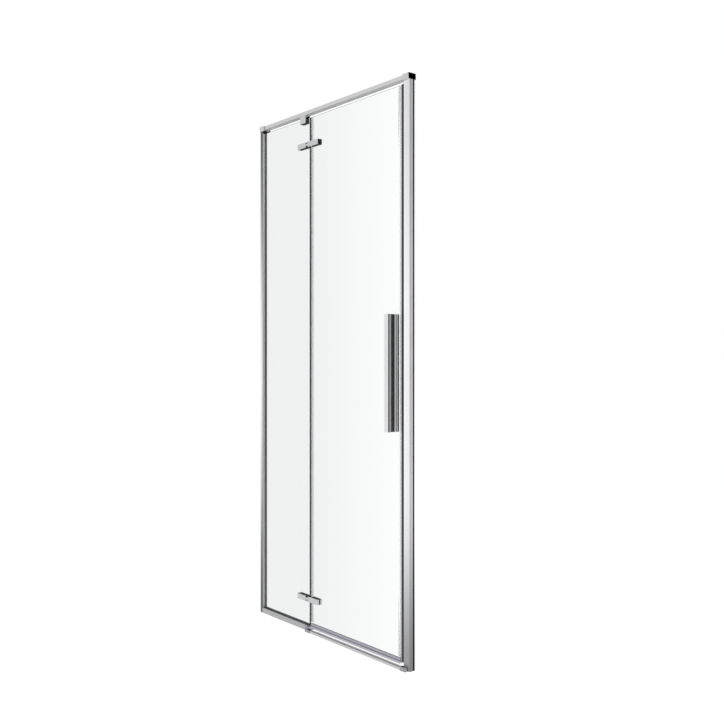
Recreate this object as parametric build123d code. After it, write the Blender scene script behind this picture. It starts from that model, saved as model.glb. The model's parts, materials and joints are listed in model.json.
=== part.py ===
from build123d import *
import os

# Alcove shower door: a fixed pane on the left and a hinged door on the right, in millimetres.
# X runs along the opening from the hinge side to the strike side, Y runs from the room (negative)
# into the shower (positive), and Z is up. The origin is on the tray, midway between the walls,
# under the middle of the glass.

# Opening
opening_width = 900.0
overall_height = 1950.0
hinge_side_reach = 330.0
fit_clearance = 0.3
thread_clearance = 0.05

# Glass
glass_thickness = 6.0
glass_arris = 0.5
glass_corner_radius = 3.0
glass_head_gap = 12.5
door_glass_bottom = 18.0
fixed_glass_bottom = 5.0
fixed_glass_edge_gap = 9.0
fixed_glass_setback = 1.0
door_glass_setback = 6.0
glass_hole_radius = 5.0

# Hinge side wall channel
hinge_channel_width = 16.0
hinge_channel_depth = 24.0
channel_web = 2.0
channel_lip = 1.6
gasket_length = 11.0
gasket_proud = 1.0

# Strike side wall channel and the post that slides in it
strike_channel_width = 26.0
strike_channel_depth = 26.0
strike_channel_web = 2.6
strike_channel_lip = 1.8
wall_seal_width = 5.0
wall_seal_edge = 4.5
wall_seal_depth = 1.2
post_exposed = 9.5
post_length = 25.5
post_wall = 2.0
post_setback = 0.3
post_travel = 6.0
post_bottom = 3.0
post_top_gap = 1.0
post_screw_radius = 2.2
post_screw_head_radius = 4.0
post_screw_head_height = 2.2
post_screw_inset = 14.5
post_screw_end_inset = 140.0

# Wall screw holes
wall_hole_radius = 2.5
wall_hole_end_inset = 150.0
wall_hole_count = 4

# Bottom rail
bottom_rail_depth = 26.0
bottom_rail_height = 20.0
bottom_rail_wall = 1.6
bottom_rail_floor = 2.0
bottom_gasket_height = 11.0
setting_block_length = 30.0
setting_block_width = 14.0
setting_block_inset = 55.0

# Header rail and its wall brackets
rail_depth = 24.0
rail_height = 14.0
rail_wall = 1.8
bracket_width = 31.0
bracket_depth = 32.0
bracket_height = 20.0
bracket_back = 6.0
bracket_floor = 4.5
bracket_round = 1.0
bracket_grub_radius = 2.0
bracket_grub_inset = 13.0

# Header clamp on the fixed pane
clamp_width = 35.0
clamp_depth = 22.0
clamp_drop = 29.5
clamp_setback = 18.5
clamp_roof_gap = 2.0
clamp_round = 1.0
clamp_screw_radius = 2.5
clamp_screw_head_radius = 3.5
clamp_screw_head_height = 3.0
clamp_grub_radius = 2.5
clamp_grub_spacing = 18.0
slide_nut_length = 24.0
slide_nut_width = 16.0
slide_nut_height = 4.0

# Threshold and its end blocks
threshold_height = 10.5
threshold_lip = 9.0
threshold_front = 24.0
threshold_flange = 1.5
threshold_flange_back = 5.0
threshold_slope = 1.5
flange_end_gap = 5.0
joint_block_height = 21.0
joint_block_wall = 2.0
joint_block_lap = 17.0
joint_block_toe = 29.0
joint_block_toe_height = 10.5
block_front = 26.0
end_block_width = 26.0
end_block_height = 13.5
end_block_setback = 7.0
block_round = 1.0

# Hinges
hinge_inset = 100.0
hinge_height = 20.0
hinge_fixed_reach = 70.0
hinge_door_reach = 60.0
hinge_plate = 7.0
hinge_back_plate = 8.0
hinge_round = 0.8
pad_thickness = 1.0
knuckle_radius = 4.5
notch_reach = 17.0
leaf_lap = 2.0
back_plate_setback = 8.0
tongue_height = 8.0
bush_flange = 0.5
bush_outer_radius = 3.0
bush_flange_radius = 4.2
thrust_gap = 0.2
pin_radius = 2.0
pin_running_clearance = 0.05
hinge_screw_radius = 2.5
hinge_screw_head_radius = 4.8
hinge_screw_head_height = 2.4
hinge_screw_depth = 4.5
hinge_screw_far = 14.0
hinge_screw_spacing = 25.0
driver_socket_radius = 1.6
driver_socket_depth = 1.6
sleeve_clearance = 0.1

# Door seals
seal_wall = 0.8
drip_leg_height = 15.0
drip_bottom = 11.0
drip_base = 1.6
drip_fin = 1.2
drip_fin_spread = 2.2
hinge_seal_leg = 14.0
hinge_seal_web = 1.0
hinge_seal_gap = 0.5
hinge_seal_end_gap = 1.0
magnet_seal_leg = 10.0
magnet_seal_web = 4.0
magnet_head_width = 6.0
magnet_head_depth = 10.8
magnet_head_wall = 1.0
magnet_gap = 0.6
magnet_seal_bottom = 20.0
strike_seal_width = 8.0
strike_barb_neck = 2.6
strike_barb_head = 6.0
strike_barb_neck_length = 2.4
strike_barb_head_length = 1.8

# Handle
handle_bottom = 775.0
handle_length = 392.0
handle_width = 19.0
handle_inset = 23.6
handle_face_depth = 14.0
handle_web_depth = 16.0
handle_web_width = 8.0
handle_foot_depth = 4.0
handle_back_pad = 4.0
handle_back_depth = 8.0
handle_round = 1.2
handle_bolt_inset = 45.0
handle_bolt_radius = 2.5
handle_bolt_head_radius = 4.8
handle_bolt_head_height = 2.6
handle_bolt_bite = 12.0

# Places that follow from the sizes above
left_wall = -opening_width / 2
right_wall = opening_width / 2
glass_half = glass_thickness / 2
pivot_x = left_wall + hinge_side_reach
channel_top = overall_height - bracket_height
rail_bottom = channel_top + bracket_floor
rail_middle = rail_bottom + rail_height / 2
glass_top = rail_bottom - glass_head_gap
channel_mouth = left_wall + hinge_channel_width
strike_mouth = right_wall - strike_channel_width
post_face = strike_mouth - post_exposed
strike_seal_face = post_face - strike_seal_width
door_seal_face = strike_seal_face - magnet_gap
magnet_head_start = door_seal_face - magnet_head_width
door_glass_right = magnet_head_start - magnet_seal_web - fit_clearance
door_glass_left = pivot_x + door_glass_setback
fixed_glass_left = left_wall + fixed_glass_edge_gap
fixed_glass_right = pivot_x - fixed_glass_setback
leaf_back = glass_half + pad_thickness
pivot_y = -(leaf_back + knuckle_radius)
hinge_levels = {"upper": glass_top - hinge_inset, "lower": door_glass_bottom + hinge_inset}
fixed_screw_xs = [pivot_x - hinge_fixed_reach + hinge_screw_far + i * hinge_screw_spacing for i in (0, 1)]
door_screw_xs = [pivot_x + hinge_door_reach - hinge_screw_far - i * hinge_screw_spacing for i in (0, 1)]
handle_right = door_glass_right - handle_inset
handle_x = handle_right - handle_width / 2
handle_top = handle_bottom + handle_length
handle_bolt_zs = (handle_bottom + handle_bolt_inset, handle_top - handle_bolt_inset)
joint_block_right = fixed_glass_right + joint_block_toe
end_block_left = strike_mouth - end_block_setback
post_screw_heights = (post_screw_end_inset, channel_top / 2, channel_top - post_screw_end_inset)
wall_hole_spacing = (overall_height - 2 * wall_hole_end_inset) / (wall_hole_count - 1)
wall_hole_heights = [wall_hole_end_inset + i * wall_hole_spacing for i in range(wall_hole_count)]


def block(x0, x1, y0, y1, z0, z1):
    """A box between two corners."""
    middle = Pos((x0 + x1) / 2, (y0 + y1) / 2, (z0 + z1) / 2)
    return middle * Box(x1 - x0, y1 - y0, z1 - z0)


def rod_x(radius, x0, x1, y, z):
    """A round bar along X."""
    return Pos((x0 + x1) / 2, y, z) * Rot(0, 90, 0) * Cylinder(radius, x1 - x0)


def rod_y(radius, x, y0, y1, z):
    """A round bar along Y."""
    return Pos(x, (y0 + y1) / 2, z) * Rot(90, 0, 0) * Cylinder(radius, y1 - y0)


def rod_z(radius, x, y, z0, z1):
    """A round bar along Z."""
    return Pos(x, y, (z0 + z1) / 2) * Cylinder(radius, z1 - z0)


def upright(points, z0, z1):
    """A closed outline in X and Y, carried up from z0 to z1."""
    outline = make_face(Polyline(*points, close=True))
    return extrude(Pos(0, 0, z0) * outline, amount=z1 - z0)


def lengthwise(points, x0, x1):
    """A closed outline in Y and Z, carried along from x0 to x1."""
    outline = make_face(Polyline(*points, close=True))
    return extrude(Plane.YZ.offset(x0) * outline, amount=x1 - x0)


def group(*solids):
    """Separate solids that share one node."""
    return Compound(children=list(solids))


def write(name, shape):
    """Write one node's solids to its own file."""
    export_step(shape, f"parts/{name}.step")


def countersunk_screw(x, y_tip, y_back, z, radius, head_radius, head_height):
    """A countersunk screw along Y with its flat head flush at y_back and a hexagon socket in it."""
    shank = rod_y(radius, x, y_tip, y_back, z)
    head_place = Pos(x, y_back - head_height / 2, z) * Rot(-90, 0, 0)
    head = head_place * Cone(radius, head_radius, head_height)
    socket_place = Plane(origin=(x, y_back - driver_socket_depth, z), z_dir=(0, 1, 0))
    socket = extrude(socket_place * RegularPolygon(driver_socket_radius, 6), amount=driver_socket_depth)
    return shank + head - socket


def countersunk_hole(x, y_tip, y_back, z, radius, head_radius, head_height):
    """The hole that such a screw sits in."""
    head_place = Pos(x, y_back - head_height / 2, z) * Rot(-90, 0, 0)
    head = head_place * Cone(radius, head_radius, head_height)
    return rod_y(radius, x, y_tip, y_back, z) + head


def pane(x0, x1, z0, z1, holes):
    """A glass pane with rounded corners, ground edges and round holes at the given X and Z."""
    sheet = block(x0, x1, -glass_half, glass_half, z0, z1)
    sheet = fillet(sheet.edges().filter_by(Axis.Y), glass_corner_radius)
    faces = sheet.faces().filter_by(Axis.Y)
    sheet = chamfer(faces.edges(), glass_arris)
    for x, z in holes:
        sheet -= rod_y(glass_hole_radius, x, -glass_half, glass_half, z)
    return sheet


def build_glass():
    fixed_holes = [(x, z) for z in hinge_levels.values() for x in fixed_screw_xs]
    write("fixed_glass", pane(fixed_glass_left, fixed_glass_right, fixed_glass_bottom, glass_top, fixed_holes))
    door_holes = [(x, z) for z in hinge_levels.values() for x in door_screw_xs]
    door_holes += [(handle_x, z) for z in handle_bolt_zs]
    write("door_glass", pane(door_glass_left, door_glass_right, door_glass_bottom, glass_top, door_holes))


def build_hinge_side_channel():
    outer = hinge_channel_depth / 2
    inner = outer - channel_lip
    web_face = left_wall + channel_web
    channel = block(left_wall, channel_mouth, -outer, outer, 0, channel_top)
    channel -= block(web_face, channel_mouth, -inner, inner, 0, channel_top)
    for z in wall_hole_heights:
        channel -= rod_x(wall_hole_radius, left_wall, web_face, 0, z)
    write("hinge_side_wall_channel", channel)
    gasket_end = channel_mouth + gasket_proud
    gasket_start = gasket_end - gasket_length
    gasket_bottom = bottom_rail_height + gasket_proud
    for name, side in (("front", -1), ("rear", 1)):
        near, far = sorted((side * glass_half, side * inner))
        gasket = block(gasket_start, gasket_end, near, far, gasket_bottom, glass_top)
        write(f"channel_{name}_gasket", gasket)


def build_strike_side_channel():
    """The three walls of one profile, kept apart so that the hollow the post slides in stays open."""
    outer = strike_channel_depth / 2
    inner = outer - strike_channel_lip
    web_face = right_wall - strike_channel_web
    web = block(web_face, right_wall, -outer, outer, 0, channel_top)
    seal_back = outer - wall_seal_edge
    seal_place = (right_wall - wall_seal_depth, right_wall, seal_back - wall_seal_width, seal_back, 0, channel_top)
    web -= block(*seal_place)
    for z in wall_hole_heights:
        web -= rod_x(wall_hole_radius, web_face, right_wall, 0, z)
    write("strike_channel_web", web)
    write("strike_channel_front_wall", block(strike_mouth, web_face, -outer, -inner, 0, channel_top))
    rear = block(strike_mouth, web_face, inner, outer, 0, channel_top)
    slot_middle = post_face + post_screw_inset + post_travel / 2
    slot_width = 2 * (post_screw_radius + fit_clearance)
    for z in post_screw_heights:
        slot_place = Plane(origin=(slot_middle, inner, z), x_dir=(1, 0, 0), z_dir=(0, 1, 0))
        rear -= extrude(slot_place * SlotCenterToCenter(post_travel, slot_width), amount=strike_channel_lip)
    write("strike_channel_rear_wall", rear)
    write("strike_wall_seal", block(*seal_place))


def build_strike_post():
    """A narrow nose that carries the closing seal, and behind it the wide body that fills the channel."""
    half = strike_channel_depth / 2 - strike_channel_lip - fit_clearance
    inner = half - post_wall
    top = channel_top - post_top_gap
    back = post_face + post_length
    shoulder = strike_mouth + post_setback
    shoulder_back = shoulder + post_wall
    nose_half = magnet_head_depth / 2
    post = block(post_face, shoulder_back, -nose_half, nose_half, post_bottom, top)
    post += block(shoulder, back, -half, half, post_bottom, top)
    post -= block(shoulder_back, back, -inner, inner, post_bottom, top)
    neck_end = post_face + strike_barb_neck_length
    groove_neck = strike_barb_neck / 2 + fit_clearance
    groove_head = strike_barb_head / 2 + fit_clearance
    groove_end = neck_end + strike_barb_head_length + fit_clearance
    post -= block(post_face, neck_end, -groove_neck, groove_neck, post_bottom, top)
    post -= block(neck_end, groove_end, -groove_head, groove_head, post_bottom, top)
    screw_x = post_face + post_screw_inset
    head_base = strike_channel_depth / 2 + fit_clearance
    screws = []
    for z in post_screw_heights:
        post -= rod_y(post_screw_radius + thread_clearance, screw_x, inner, half, z)
        head_top = head_base + post_screw_head_height
        screw = rod_y(post_screw_radius, screw_x, inner, head_top, z)
        screw += rod_y(post_screw_head_radius, screw_x, head_base, head_top, z)
        socket_place = Plane(origin=(screw_x, head_top - driver_socket_depth, z), z_dir=(0, 1, 0))
        screw -= extrude(socket_place * RegularPolygon(driver_socket_radius, 6), amount=driver_socket_depth)
        screws.append(screw)
    write("strike_post", post)
    write("strike_post_screws", group(*screws))


def build_strike_seal():
    half = magnet_head_depth / 2
    head = block(strike_seal_face, post_face, -half, half, magnet_seal_bottom, glass_top)
    neck_end = post_face + strike_barb_neck_length
    neck = strike_barb_neck / 2
    barb = strike_barb_head / 2
    seal = head + block(post_face, neck_end, -neck, neck, magnet_seal_bottom, glass_top)
    barb_end = neck_end + strike_barb_head_length
    seal += block(neck_end, barb_end, -barb, barb, magnet_seal_bottom, glass_top)
    magnet = (
        strike_seal_face + magnet_head_wall,
        post_face - magnet_head_wall,
        -half + magnet_head_wall,
        half - magnet_head_wall,
        magnet_seal_bottom,
        glass_top,
    )
    write("strike_magnet_seal", seal - block(*magnet))
    write("strike_magnet_strip", block(*magnet))


def build_bottom_rail():
    outer = bottom_rail_depth / 2
    inner = outer - bottom_rail_wall
    rail = block(channel_mouth, fixed_glass_right, -outer, outer, 0, bottom_rail_height)
    rail -= block(channel_mouth, fixed_glass_right, -inner, inner, bottom_rail_floor, bottom_rail_height)
    write("bottom_rail", rail)
    top = bottom_rail_height + gasket_proud
    start = channel_mouth + gasket_proud
    for name, side in (("front", -1), ("rear", 1)):
        near, far = sorted((side * glass_half, side * inner))
        gasket = block(start, fixed_glass_right, near, far, top - bottom_gasket_height, top)
        write(f"bottom_{name}_gasket", gasket)
    blocks = []
    half_width = setting_block_width / 2
    for x in (channel_mouth + setting_block_inset, fixed_glass_right - setting_block_inset):
        ends = (x - setting_block_length / 2, x + setting_block_length / 2)
        blocks.append(block(*ends, -half_width, half_width, bottom_rail_floor, fixed_glass_bottom))
    write("bottom_setting_blocks", group(*blocks))


def build_bracket(name, wall, inward):
    """A socket on one wall that the header rail's end stands in. Inward is the way into the opening."""
    mouth = wall + inward * bracket_width
    floor = wall + inward * bracket_back
    half = bracket_depth / 2
    body = block(min(wall, mouth), max(wall, mouth), -half, half, channel_top, overall_height)
    wall_face = body.faces().sort_by(Axis.X)[0 if inward > 0 else -1]
    body = fillet(body.edges() - wall_face.edges(), bracket_round)
    rail_half = rail_depth / 2
    socket = (min(floor, mouth), max(floor, mouth), -rail_half, rail_half, rail_bottom, rail_bottom + rail_height)
    body -= block(*socket)
    body -= rod_x(wall_hole_radius, min(wall, floor), max(wall, floor), 0, rail_middle)
    grub_x = wall + inward * (bracket_width - bracket_grub_inset)
    body -= rod_z(bracket_grub_radius + thread_clearance, grub_x, 0, channel_top, rail_bottom)
    write(name, body)
    return grub_screw_up(grub_x, 0, channel_top, rail_bottom, bracket_grub_radius)


def grub_screw_up(x, y, z0, z1, radius):
    """A headless screw along Z with a hexagon socket in its lower end."""
    socket = extrude(Pos(x, y, z0) * RegularPolygon(radius / 2, 6), amount=(z1 - z0) / 2)
    return rod_z(radius, x, y, z0, z1) - socket


def build_header():
    grubs = [
        build_bracket("header_bracket_left", left_wall, 1),
        build_bracket("header_bracket_right", right_wall, -1),
    ]
    write("header_grub_screws", group(*grubs))
    ends = (left_wall + bracket_back, right_wall - bracket_back)
    half = rail_depth / 2
    rail = block(*ends, -half, half, rail_bottom, rail_bottom + rail_height)
    inner = half - rail_wall
    rail -= block(*ends, -inner, inner, rail_bottom + rail_wall, rail_bottom + rail_height - rail_wall)
    clamp_x = pivot_x - clamp_setback - clamp_width / 2
    rail -= rod_z(clamp_screw_radius + thread_clearance, clamp_x, 0, rail_bottom, rail_bottom + rail_wall)
    write("header_rail", rail)


def build_header_clamp():
    right = pivot_x - clamp_setback
    left = right - clamp_width
    middle = (left + right) / 2
    half = clamp_depth / 2
    bottom = rail_bottom - clamp_drop
    roof = glass_top + clamp_roof_gap
    clamp = block(left, right, -half, half, bottom, rail_bottom)
    clamp = fillet(clamp.edges().filter_by(Axis.Z), clamp_round)
    clamp -= block(left, right, -leaf_back, leaf_back, bottom, roof)
    head_top = roof + clamp_screw_head_height
    clamp -= rod_z(clamp_screw_radius + thread_clearance, middle, 0, roof, rail_bottom)
    clamp -= rod_z(clamp_screw_head_radius + thread_clearance, middle, 0, roof, head_top)
    grubs = []
    grub_z = (bottom + glass_top) / 2
    for side in (-1, 1):
        x = middle + side * clamp_grub_spacing / 2
        clamp -= rod_y(clamp_grub_radius + thread_clearance, x, leaf_back, half, grub_z)
        grub = rod_y(clamp_grub_radius, x, leaf_back, half, grub_z)
        socket_place = Plane(origin=(x, half - driver_socket_depth, grub_z), z_dir=(0, 1, 0))
        grub -= extrude(socket_place * RegularPolygon(driver_socket_radius, 6), amount=driver_socket_depth)
        grubs.append(grub)
    write("header_clamp", clamp)
    write("header_clamp_grub_screws", group(*grubs))
    pads = [block(left, right, *sorted((side * glass_half, side * leaf_back)), bottom, glass_top) for side in (-1, 1)]
    write("header_clamp_pads", group(*pads))
    nut_bottom = rail_bottom + rail_wall
    nut_top = nut_bottom + slide_nut_height
    half_length = slide_nut_length / 2
    half_width = slide_nut_width / 2
    nut = block(middle - half_length, middle + half_length, -half_width, half_width, nut_bottom, nut_top)
    nut -= rod_z(clamp_screw_radius + thread_clearance, middle, 0, nut_bottom, nut_top)
    write("header_slide_nut", nut)
    screw = rod_z(clamp_screw_radius, middle, 0, roof, nut_top)
    screw += rod_z(clamp_screw_head_radius, middle, 0, roof, head_top)
    screw -= extrude(Pos(middle, 0, roof) * RegularPolygon(driver_socket_radius, 6), amount=driver_socket_depth)
    write("header_clamp_screw", screw)


def build_threshold():
    front = -threshold_front
    back = front + threshold_lip
    top = threshold_height
    flange = threshold_flange
    lip_outline = [(front, 0), (back, 0), (back, top), (front + threshold_slope, top), (front, top - threshold_slope)]
    strip = lengthwise(lip_outline, joint_block_right, end_block_left)
    flange_end = post_face - flange_end_gap
    strip += block(joint_block_right, flange_end, back, threshold_flange_back, 0, flange)
    write("threshold_strip", strip)


def build_joint_block():
    """A cap round the end of the bottom rail, with a low toe in front that the threshold butts against."""
    rail_half = bottom_rail_depth / 2
    outer = rail_half + joint_block_wall
    left = fixed_glass_right - joint_block_lap
    step = fixed_glass_right + joint_block_wall
    cap = block(left, step, -outer, outer, 0, joint_block_height)
    cap = fillet(cap.edges().filter_by(Axis.Z), block_round)
    cap -= block(left, fixed_glass_right, -rail_half, rail_half, 0, joint_block_height)
    toe = block(fixed_glass_right, joint_block_right, -block_front, -rail_half, 0, joint_block_toe_height)
    toe = fillet(toe.edges().filter_by(Axis.Z).sort_by(Axis.Y)[0:2], block_round)
    write("threshold_joint_block", cap + toe)


def build_end_block():
    front = -block_front
    back = -strike_channel_depth / 2
    body = block(end_block_left, end_block_left + end_block_width, front, back, 0, end_block_height)
    edges = body.edges().filter_by(Axis.Z).sort_by(Axis.Y)[0:2] + body.faces().sort_by(Axis.Z)[-1].edges()
    body = fillet(edges, block_round)
    write("threshold_end_block", body)


def hinge_plate_block(x0, x1, z0, z1):
    """The front plate of one hinge leaf."""
    plate = block(x0, x1, -leaf_back - hinge_plate, -leaf_back, z0, z1)
    return fillet(plate.faces().sort_by(Axis.Y)[0].edges(), hinge_round)


def hinge_back_block(x0, x1, z0, z1):
    """The plate behind the glass that one hinge leaf is screwed to."""
    plate = block(x0, x1, leaf_back, leaf_back + hinge_back_plate, z0, z1)
    return fillet(plate.faces().sort_by(Axis.Y)[-1].edges(), hinge_round)


def build_hinge_fixed_leaf(name, middle):
    z0 = middle - hinge_height / 2
    z1 = middle + hinge_height / 2
    tongue0 = middle - tongue_height / 2
    tongue1 = middle + tongue_height / 2
    plate_end = pivot_x - notch_reach
    leaf = hinge_plate_block(pivot_x - hinge_fixed_reach, plate_end, z0, z1)
    tongue_front = -leaf_back - hinge_plate + hinge_round
    leaf += block(plate_end - leaf_lap, pivot_x, tongue_front, -leaf_back, tongue0, tongue1)
    leaf += rod_z(knuckle_radius, pivot_x, pivot_y, tongue0, tongue1)
    leaf -= rod_z(bush_outer_radius, pivot_x, pivot_y, tongue0, tongue1)
    for x in fixed_screw_xs:
        leaf -= rod_y(hinge_screw_radius + thread_clearance, x, -leaf_back - hinge_screw_depth, -leaf_back, middle)
    write(f"{name}_hinge_fixed_leaf", leaf)


def build_hinge_door_leaf(name, middle):
    z0 = middle - hinge_height / 2
    z1 = middle + hinge_height / 2
    ear_start = tongue_height / 2 + bush_flange + thrust_gap
    plate_start = pivot_x + knuckle_radius + fit_clearance
    leaf = hinge_plate_block(plate_start, pivot_x + hinge_door_reach, z0, z1)
    ear_front = -leaf_back - hinge_plate + hinge_round
    for e0, e1 in ((z0, middle - ear_start), (middle + ear_start, z1)):
        ear = block(pivot_x, plate_start + leaf_lap, ear_front, -leaf_back, e0, e1)
        ear += rod_z(knuckle_radius, pivot_x, pivot_y, e0, e1)
        leaf += ear
    leaf -= rod_z(pin_radius, pivot_x, pivot_y, z0, z1)
    for x in door_screw_xs:
        leaf -= rod_y(hinge_screw_radius + thread_clearance, x, -leaf_back - hinge_screw_depth, -leaf_back, middle)
    write(f"{name}_hinge_door_leaf", leaf)


def build_hinge_axle(name, middle):
    z0 = middle - hinge_height / 2
    z1 = middle + hinge_height / 2
    write(f"{name}_hinge_pin", rod_z(pin_radius, pivot_x, pivot_y, z0, z1))
    bore = pin_radius + pin_running_clearance
    bushes = []
    for side in (-1, 1):
        seat = middle + side * tongue_height / 2
        lip = seat + side * bush_flange
        sleeve = rod_z(bush_outer_radius, pivot_x, pivot_y, min(middle, seat), max(middle, seat))
        sleeve += rod_z(bush_flange_radius, pivot_x, pivot_y, min(seat, lip), max(seat, lip))
        sleeve -= rod_z(bore, pivot_x, pivot_y, min(middle, lip), max(middle, lip))
        bushes.append(sleeve)
    write(f"{name}_hinge_bushes", group(*bushes))


def build_hinge_side(name, middle, side, x0, x1, screw_xs):
    """The back plate, the pads with their sleeves and the screws on one side of a hinge."""
    z0 = middle - hinge_height / 2
    z1 = middle + hinge_height / 2
    back_face = leaf_back + hinge_back_plate
    tip = -leaf_back - hinge_screw_depth
    head = (hinge_screw_head_radius, hinge_screw_head_height)
    plate = hinge_back_block(x0, x1, z0, z1)
    front_pad = block(x0, x1, -leaf_back, -glass_half, z0, z1)
    back_pad = block(x0, x1, glass_half, leaf_back, z0, z1)
    screws = []
    for x in screw_xs:
        hole_radius = hinge_screw_radius + thread_clearance
        plate -= countersunk_hole(x, leaf_back, back_face, middle, hole_radius, *head)
        front_pad += rod_y(glass_hole_radius - sleeve_clearance, x, -glass_half, glass_half, middle)
        front_pad -= rod_y(hole_radius, x, -leaf_back, glass_half, middle)
        back_pad -= rod_y(hole_radius, x, glass_half, leaf_back, middle)
        screws.append(countersunk_screw(x, tip, back_face, middle, hinge_screw_radius, *head))
    write(f"{name}_hinge_{side}_clamp_plate", plate)
    write(f"{name}_hinge_{side}_pads", group(front_pad, back_pad))
    write(f"{name}_hinge_{side}_screws", group(*screws))


def build_hinges():
    for name, middle in hinge_levels.items():
        build_hinge_fixed_leaf(name, middle)
        build_hinge_door_leaf(name, middle)
        build_hinge_axle(name, middle)
        fixed_ends = (pivot_x - hinge_fixed_reach, pivot_x - back_plate_setback)
        build_hinge_side(name, middle, "fixed", *fixed_ends, fixed_screw_xs)
        door_ends = (pivot_x + back_plate_setback, pivot_x + hinge_door_reach)
        build_hinge_side(name, middle, "door", *door_ends, door_screw_xs)


def build_door_bottom_seal():
    outer = glass_half + seal_wall
    base_bottom = door_glass_bottom - drip_base
    leg_top = door_glass_bottom + drip_leg_height
    x0 = door_glass_left + seal_wall
    seal = block(x0, door_glass_right, -outer, outer, base_bottom, leg_top)
    seal -= block(x0, door_glass_right, -glass_half, glass_half, door_glass_bottom, leg_top)
    for side in (-1, 1):
        root = side * (outer - drip_fin)
        tip = side * (outer - drip_fin + drip_fin_spread)
        fin = [
            (root, base_bottom),
            (root + side * drip_fin, base_bottom),
            (tip + side * drip_fin / 2, drip_bottom),
            (tip - side * drip_fin / 2, drip_bottom),
        ]
        seal += lengthwise(fin, x0, door_glass_right)
    write("door_bottom_seal", seal)


def hinge_seal_lengths():
    """The stretches of the hinge edge that the hinges leave free."""
    reach = hinge_height / 2 + hinge_seal_end_gap
    lower = hinge_levels["lower"]
    upper = hinge_levels["upper"]
    drip_top = door_glass_bottom + drip_leg_height + hinge_seal_end_gap
    return ((drip_top, lower - reach), (lower + reach, upper - reach), (upper + reach, glass_top))


def build_door_hinge_seal():
    outer = glass_half + seal_wall
    web = door_glass_left - hinge_seal_web
    leg_end = door_glass_left + hinge_seal_leg
    bulb_start = fixed_glass_right + hinge_seal_gap
    clips = []
    lips = []
    for z0, z1 in hinge_seal_lengths():
        clip = block(web, leg_end, -outer, outer, z0, z1)
        clip -= block(door_glass_left, leg_end, -glass_half, glass_half, z0, z1)
        clips.append(clip)
        outline = [(web, -outer), (bulb_start, -glass_half / 2), (bulb_start, glass_half / 2), (web, outer)]
        lips.append(upright(outline, z0, z1))
    write("door_hinge_seal_clip", group(*clips))
    write("door_hinge_seal_lip", group(*lips))


def build_door_magnet_seal():
    outer = glass_half + seal_wall
    half = magnet_head_depth / 2
    leg_start = door_glass_right - magnet_seal_leg
    z0 = door_glass_bottom + drip_leg_height + hinge_seal_end_gap
    clip = block(leg_start, magnet_head_start, -outer, outer, z0, glass_top)
    clip -= block(leg_start, door_glass_right, -glass_half, glass_half, z0, glass_top)
    head = block(magnet_head_start, door_seal_face, -half, half, magnet_seal_bottom, glass_top)
    magnet = (
        magnet_head_start + magnet_head_wall,
        door_seal_face - magnet_head_wall,
        -half + magnet_head_wall,
        half - magnet_head_wall,
        magnet_seal_bottom,
        glass_top,
    )
    write("door_magnet_seal", clip + head - block(*magnet))
    write("door_magnet_strip", block(*magnet))


def build_handle():
    half = handle_width / 2
    web_half = handle_web_width / 2
    foot_front = -leaf_back - handle_foot_depth
    web_front = foot_front - handle_web_depth
    face = web_front - handle_face_depth
    bar = block(handle_x - half, handle_x + half, face, web_front, handle_bottom, handle_top)
    bar = fillet(bar.edges().filter_by(Axis.Z).sort_by(Axis.Y)[0:2], handle_round)
    bar += block(handle_x - web_half, handle_x + web_half, web_front, foot_front, handle_bottom, handle_top)
    bar += block(handle_x - half, handle_x + half, foot_front, -leaf_back, handle_bottom, handle_top)
    pad_back = glass_half + handle_back_pad
    back_face = pad_back + handle_back_depth
    back = block(handle_x - half, handle_x + half, pad_back, back_face, handle_bottom, handle_top)
    back = fillet(back.edges().filter_by(Axis.Z).sort_by(Axis.Y)[2:4], handle_round)
    front_pad = block(handle_x - half, handle_x + half, -leaf_back, -glass_half, handle_bottom, handle_top)
    back_pad = block(handle_x - half, handle_x + half, glass_half, pad_back, handle_bottom, handle_top)
    hole = handle_bolt_radius + thread_clearance
    tip = -leaf_back - handle_bolt_bite
    head = (handle_bolt_head_radius, handle_bolt_head_height)
    bolts = []
    sleeves = []
    for z in handle_bolt_zs:
        bar -= rod_y(hole, handle_x, tip, -leaf_back, z)
        front_pad -= rod_y(hole, handle_x, -leaf_back, -glass_half, z)
        back_pad -= rod_y(hole, handle_x, glass_half, pad_back, z)
        back -= countersunk_hole(handle_x, pad_back, back_face, z, hole, *head)
        sleeve = rod_y(glass_hole_radius - sleeve_clearance, handle_x, -glass_half, glass_half, z)
        sleeves.append(sleeve - rod_y(hole, handle_x, -glass_half, glass_half, z))
        bolts.append(countersunk_screw(handle_x, tip, back_face, z, handle_bolt_radius, *head))
    write("handle_front_bar", bar)
    write("handle_back_bar", back)
    write("handle_front_pad", front_pad)
    write("handle_back_pad", back_pad)
    write("handle_sleeves", group(*sleeves))
    write("handle_bolts", group(*bolts))


os.makedirs("parts", exist_ok=True)
build_glass()
build_hinge_side_channel()
build_strike_side_channel()
build_strike_post()
build_strike_seal()
build_bottom_rail()
build_header()
build_header_clamp()
build_threshold()
build_joint_block()
build_end_block()
build_hinges()
build_door_bottom_seal()
build_door_hinge_seal()
build_door_magnet_seal()
build_handle()
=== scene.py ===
import json
import math

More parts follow.
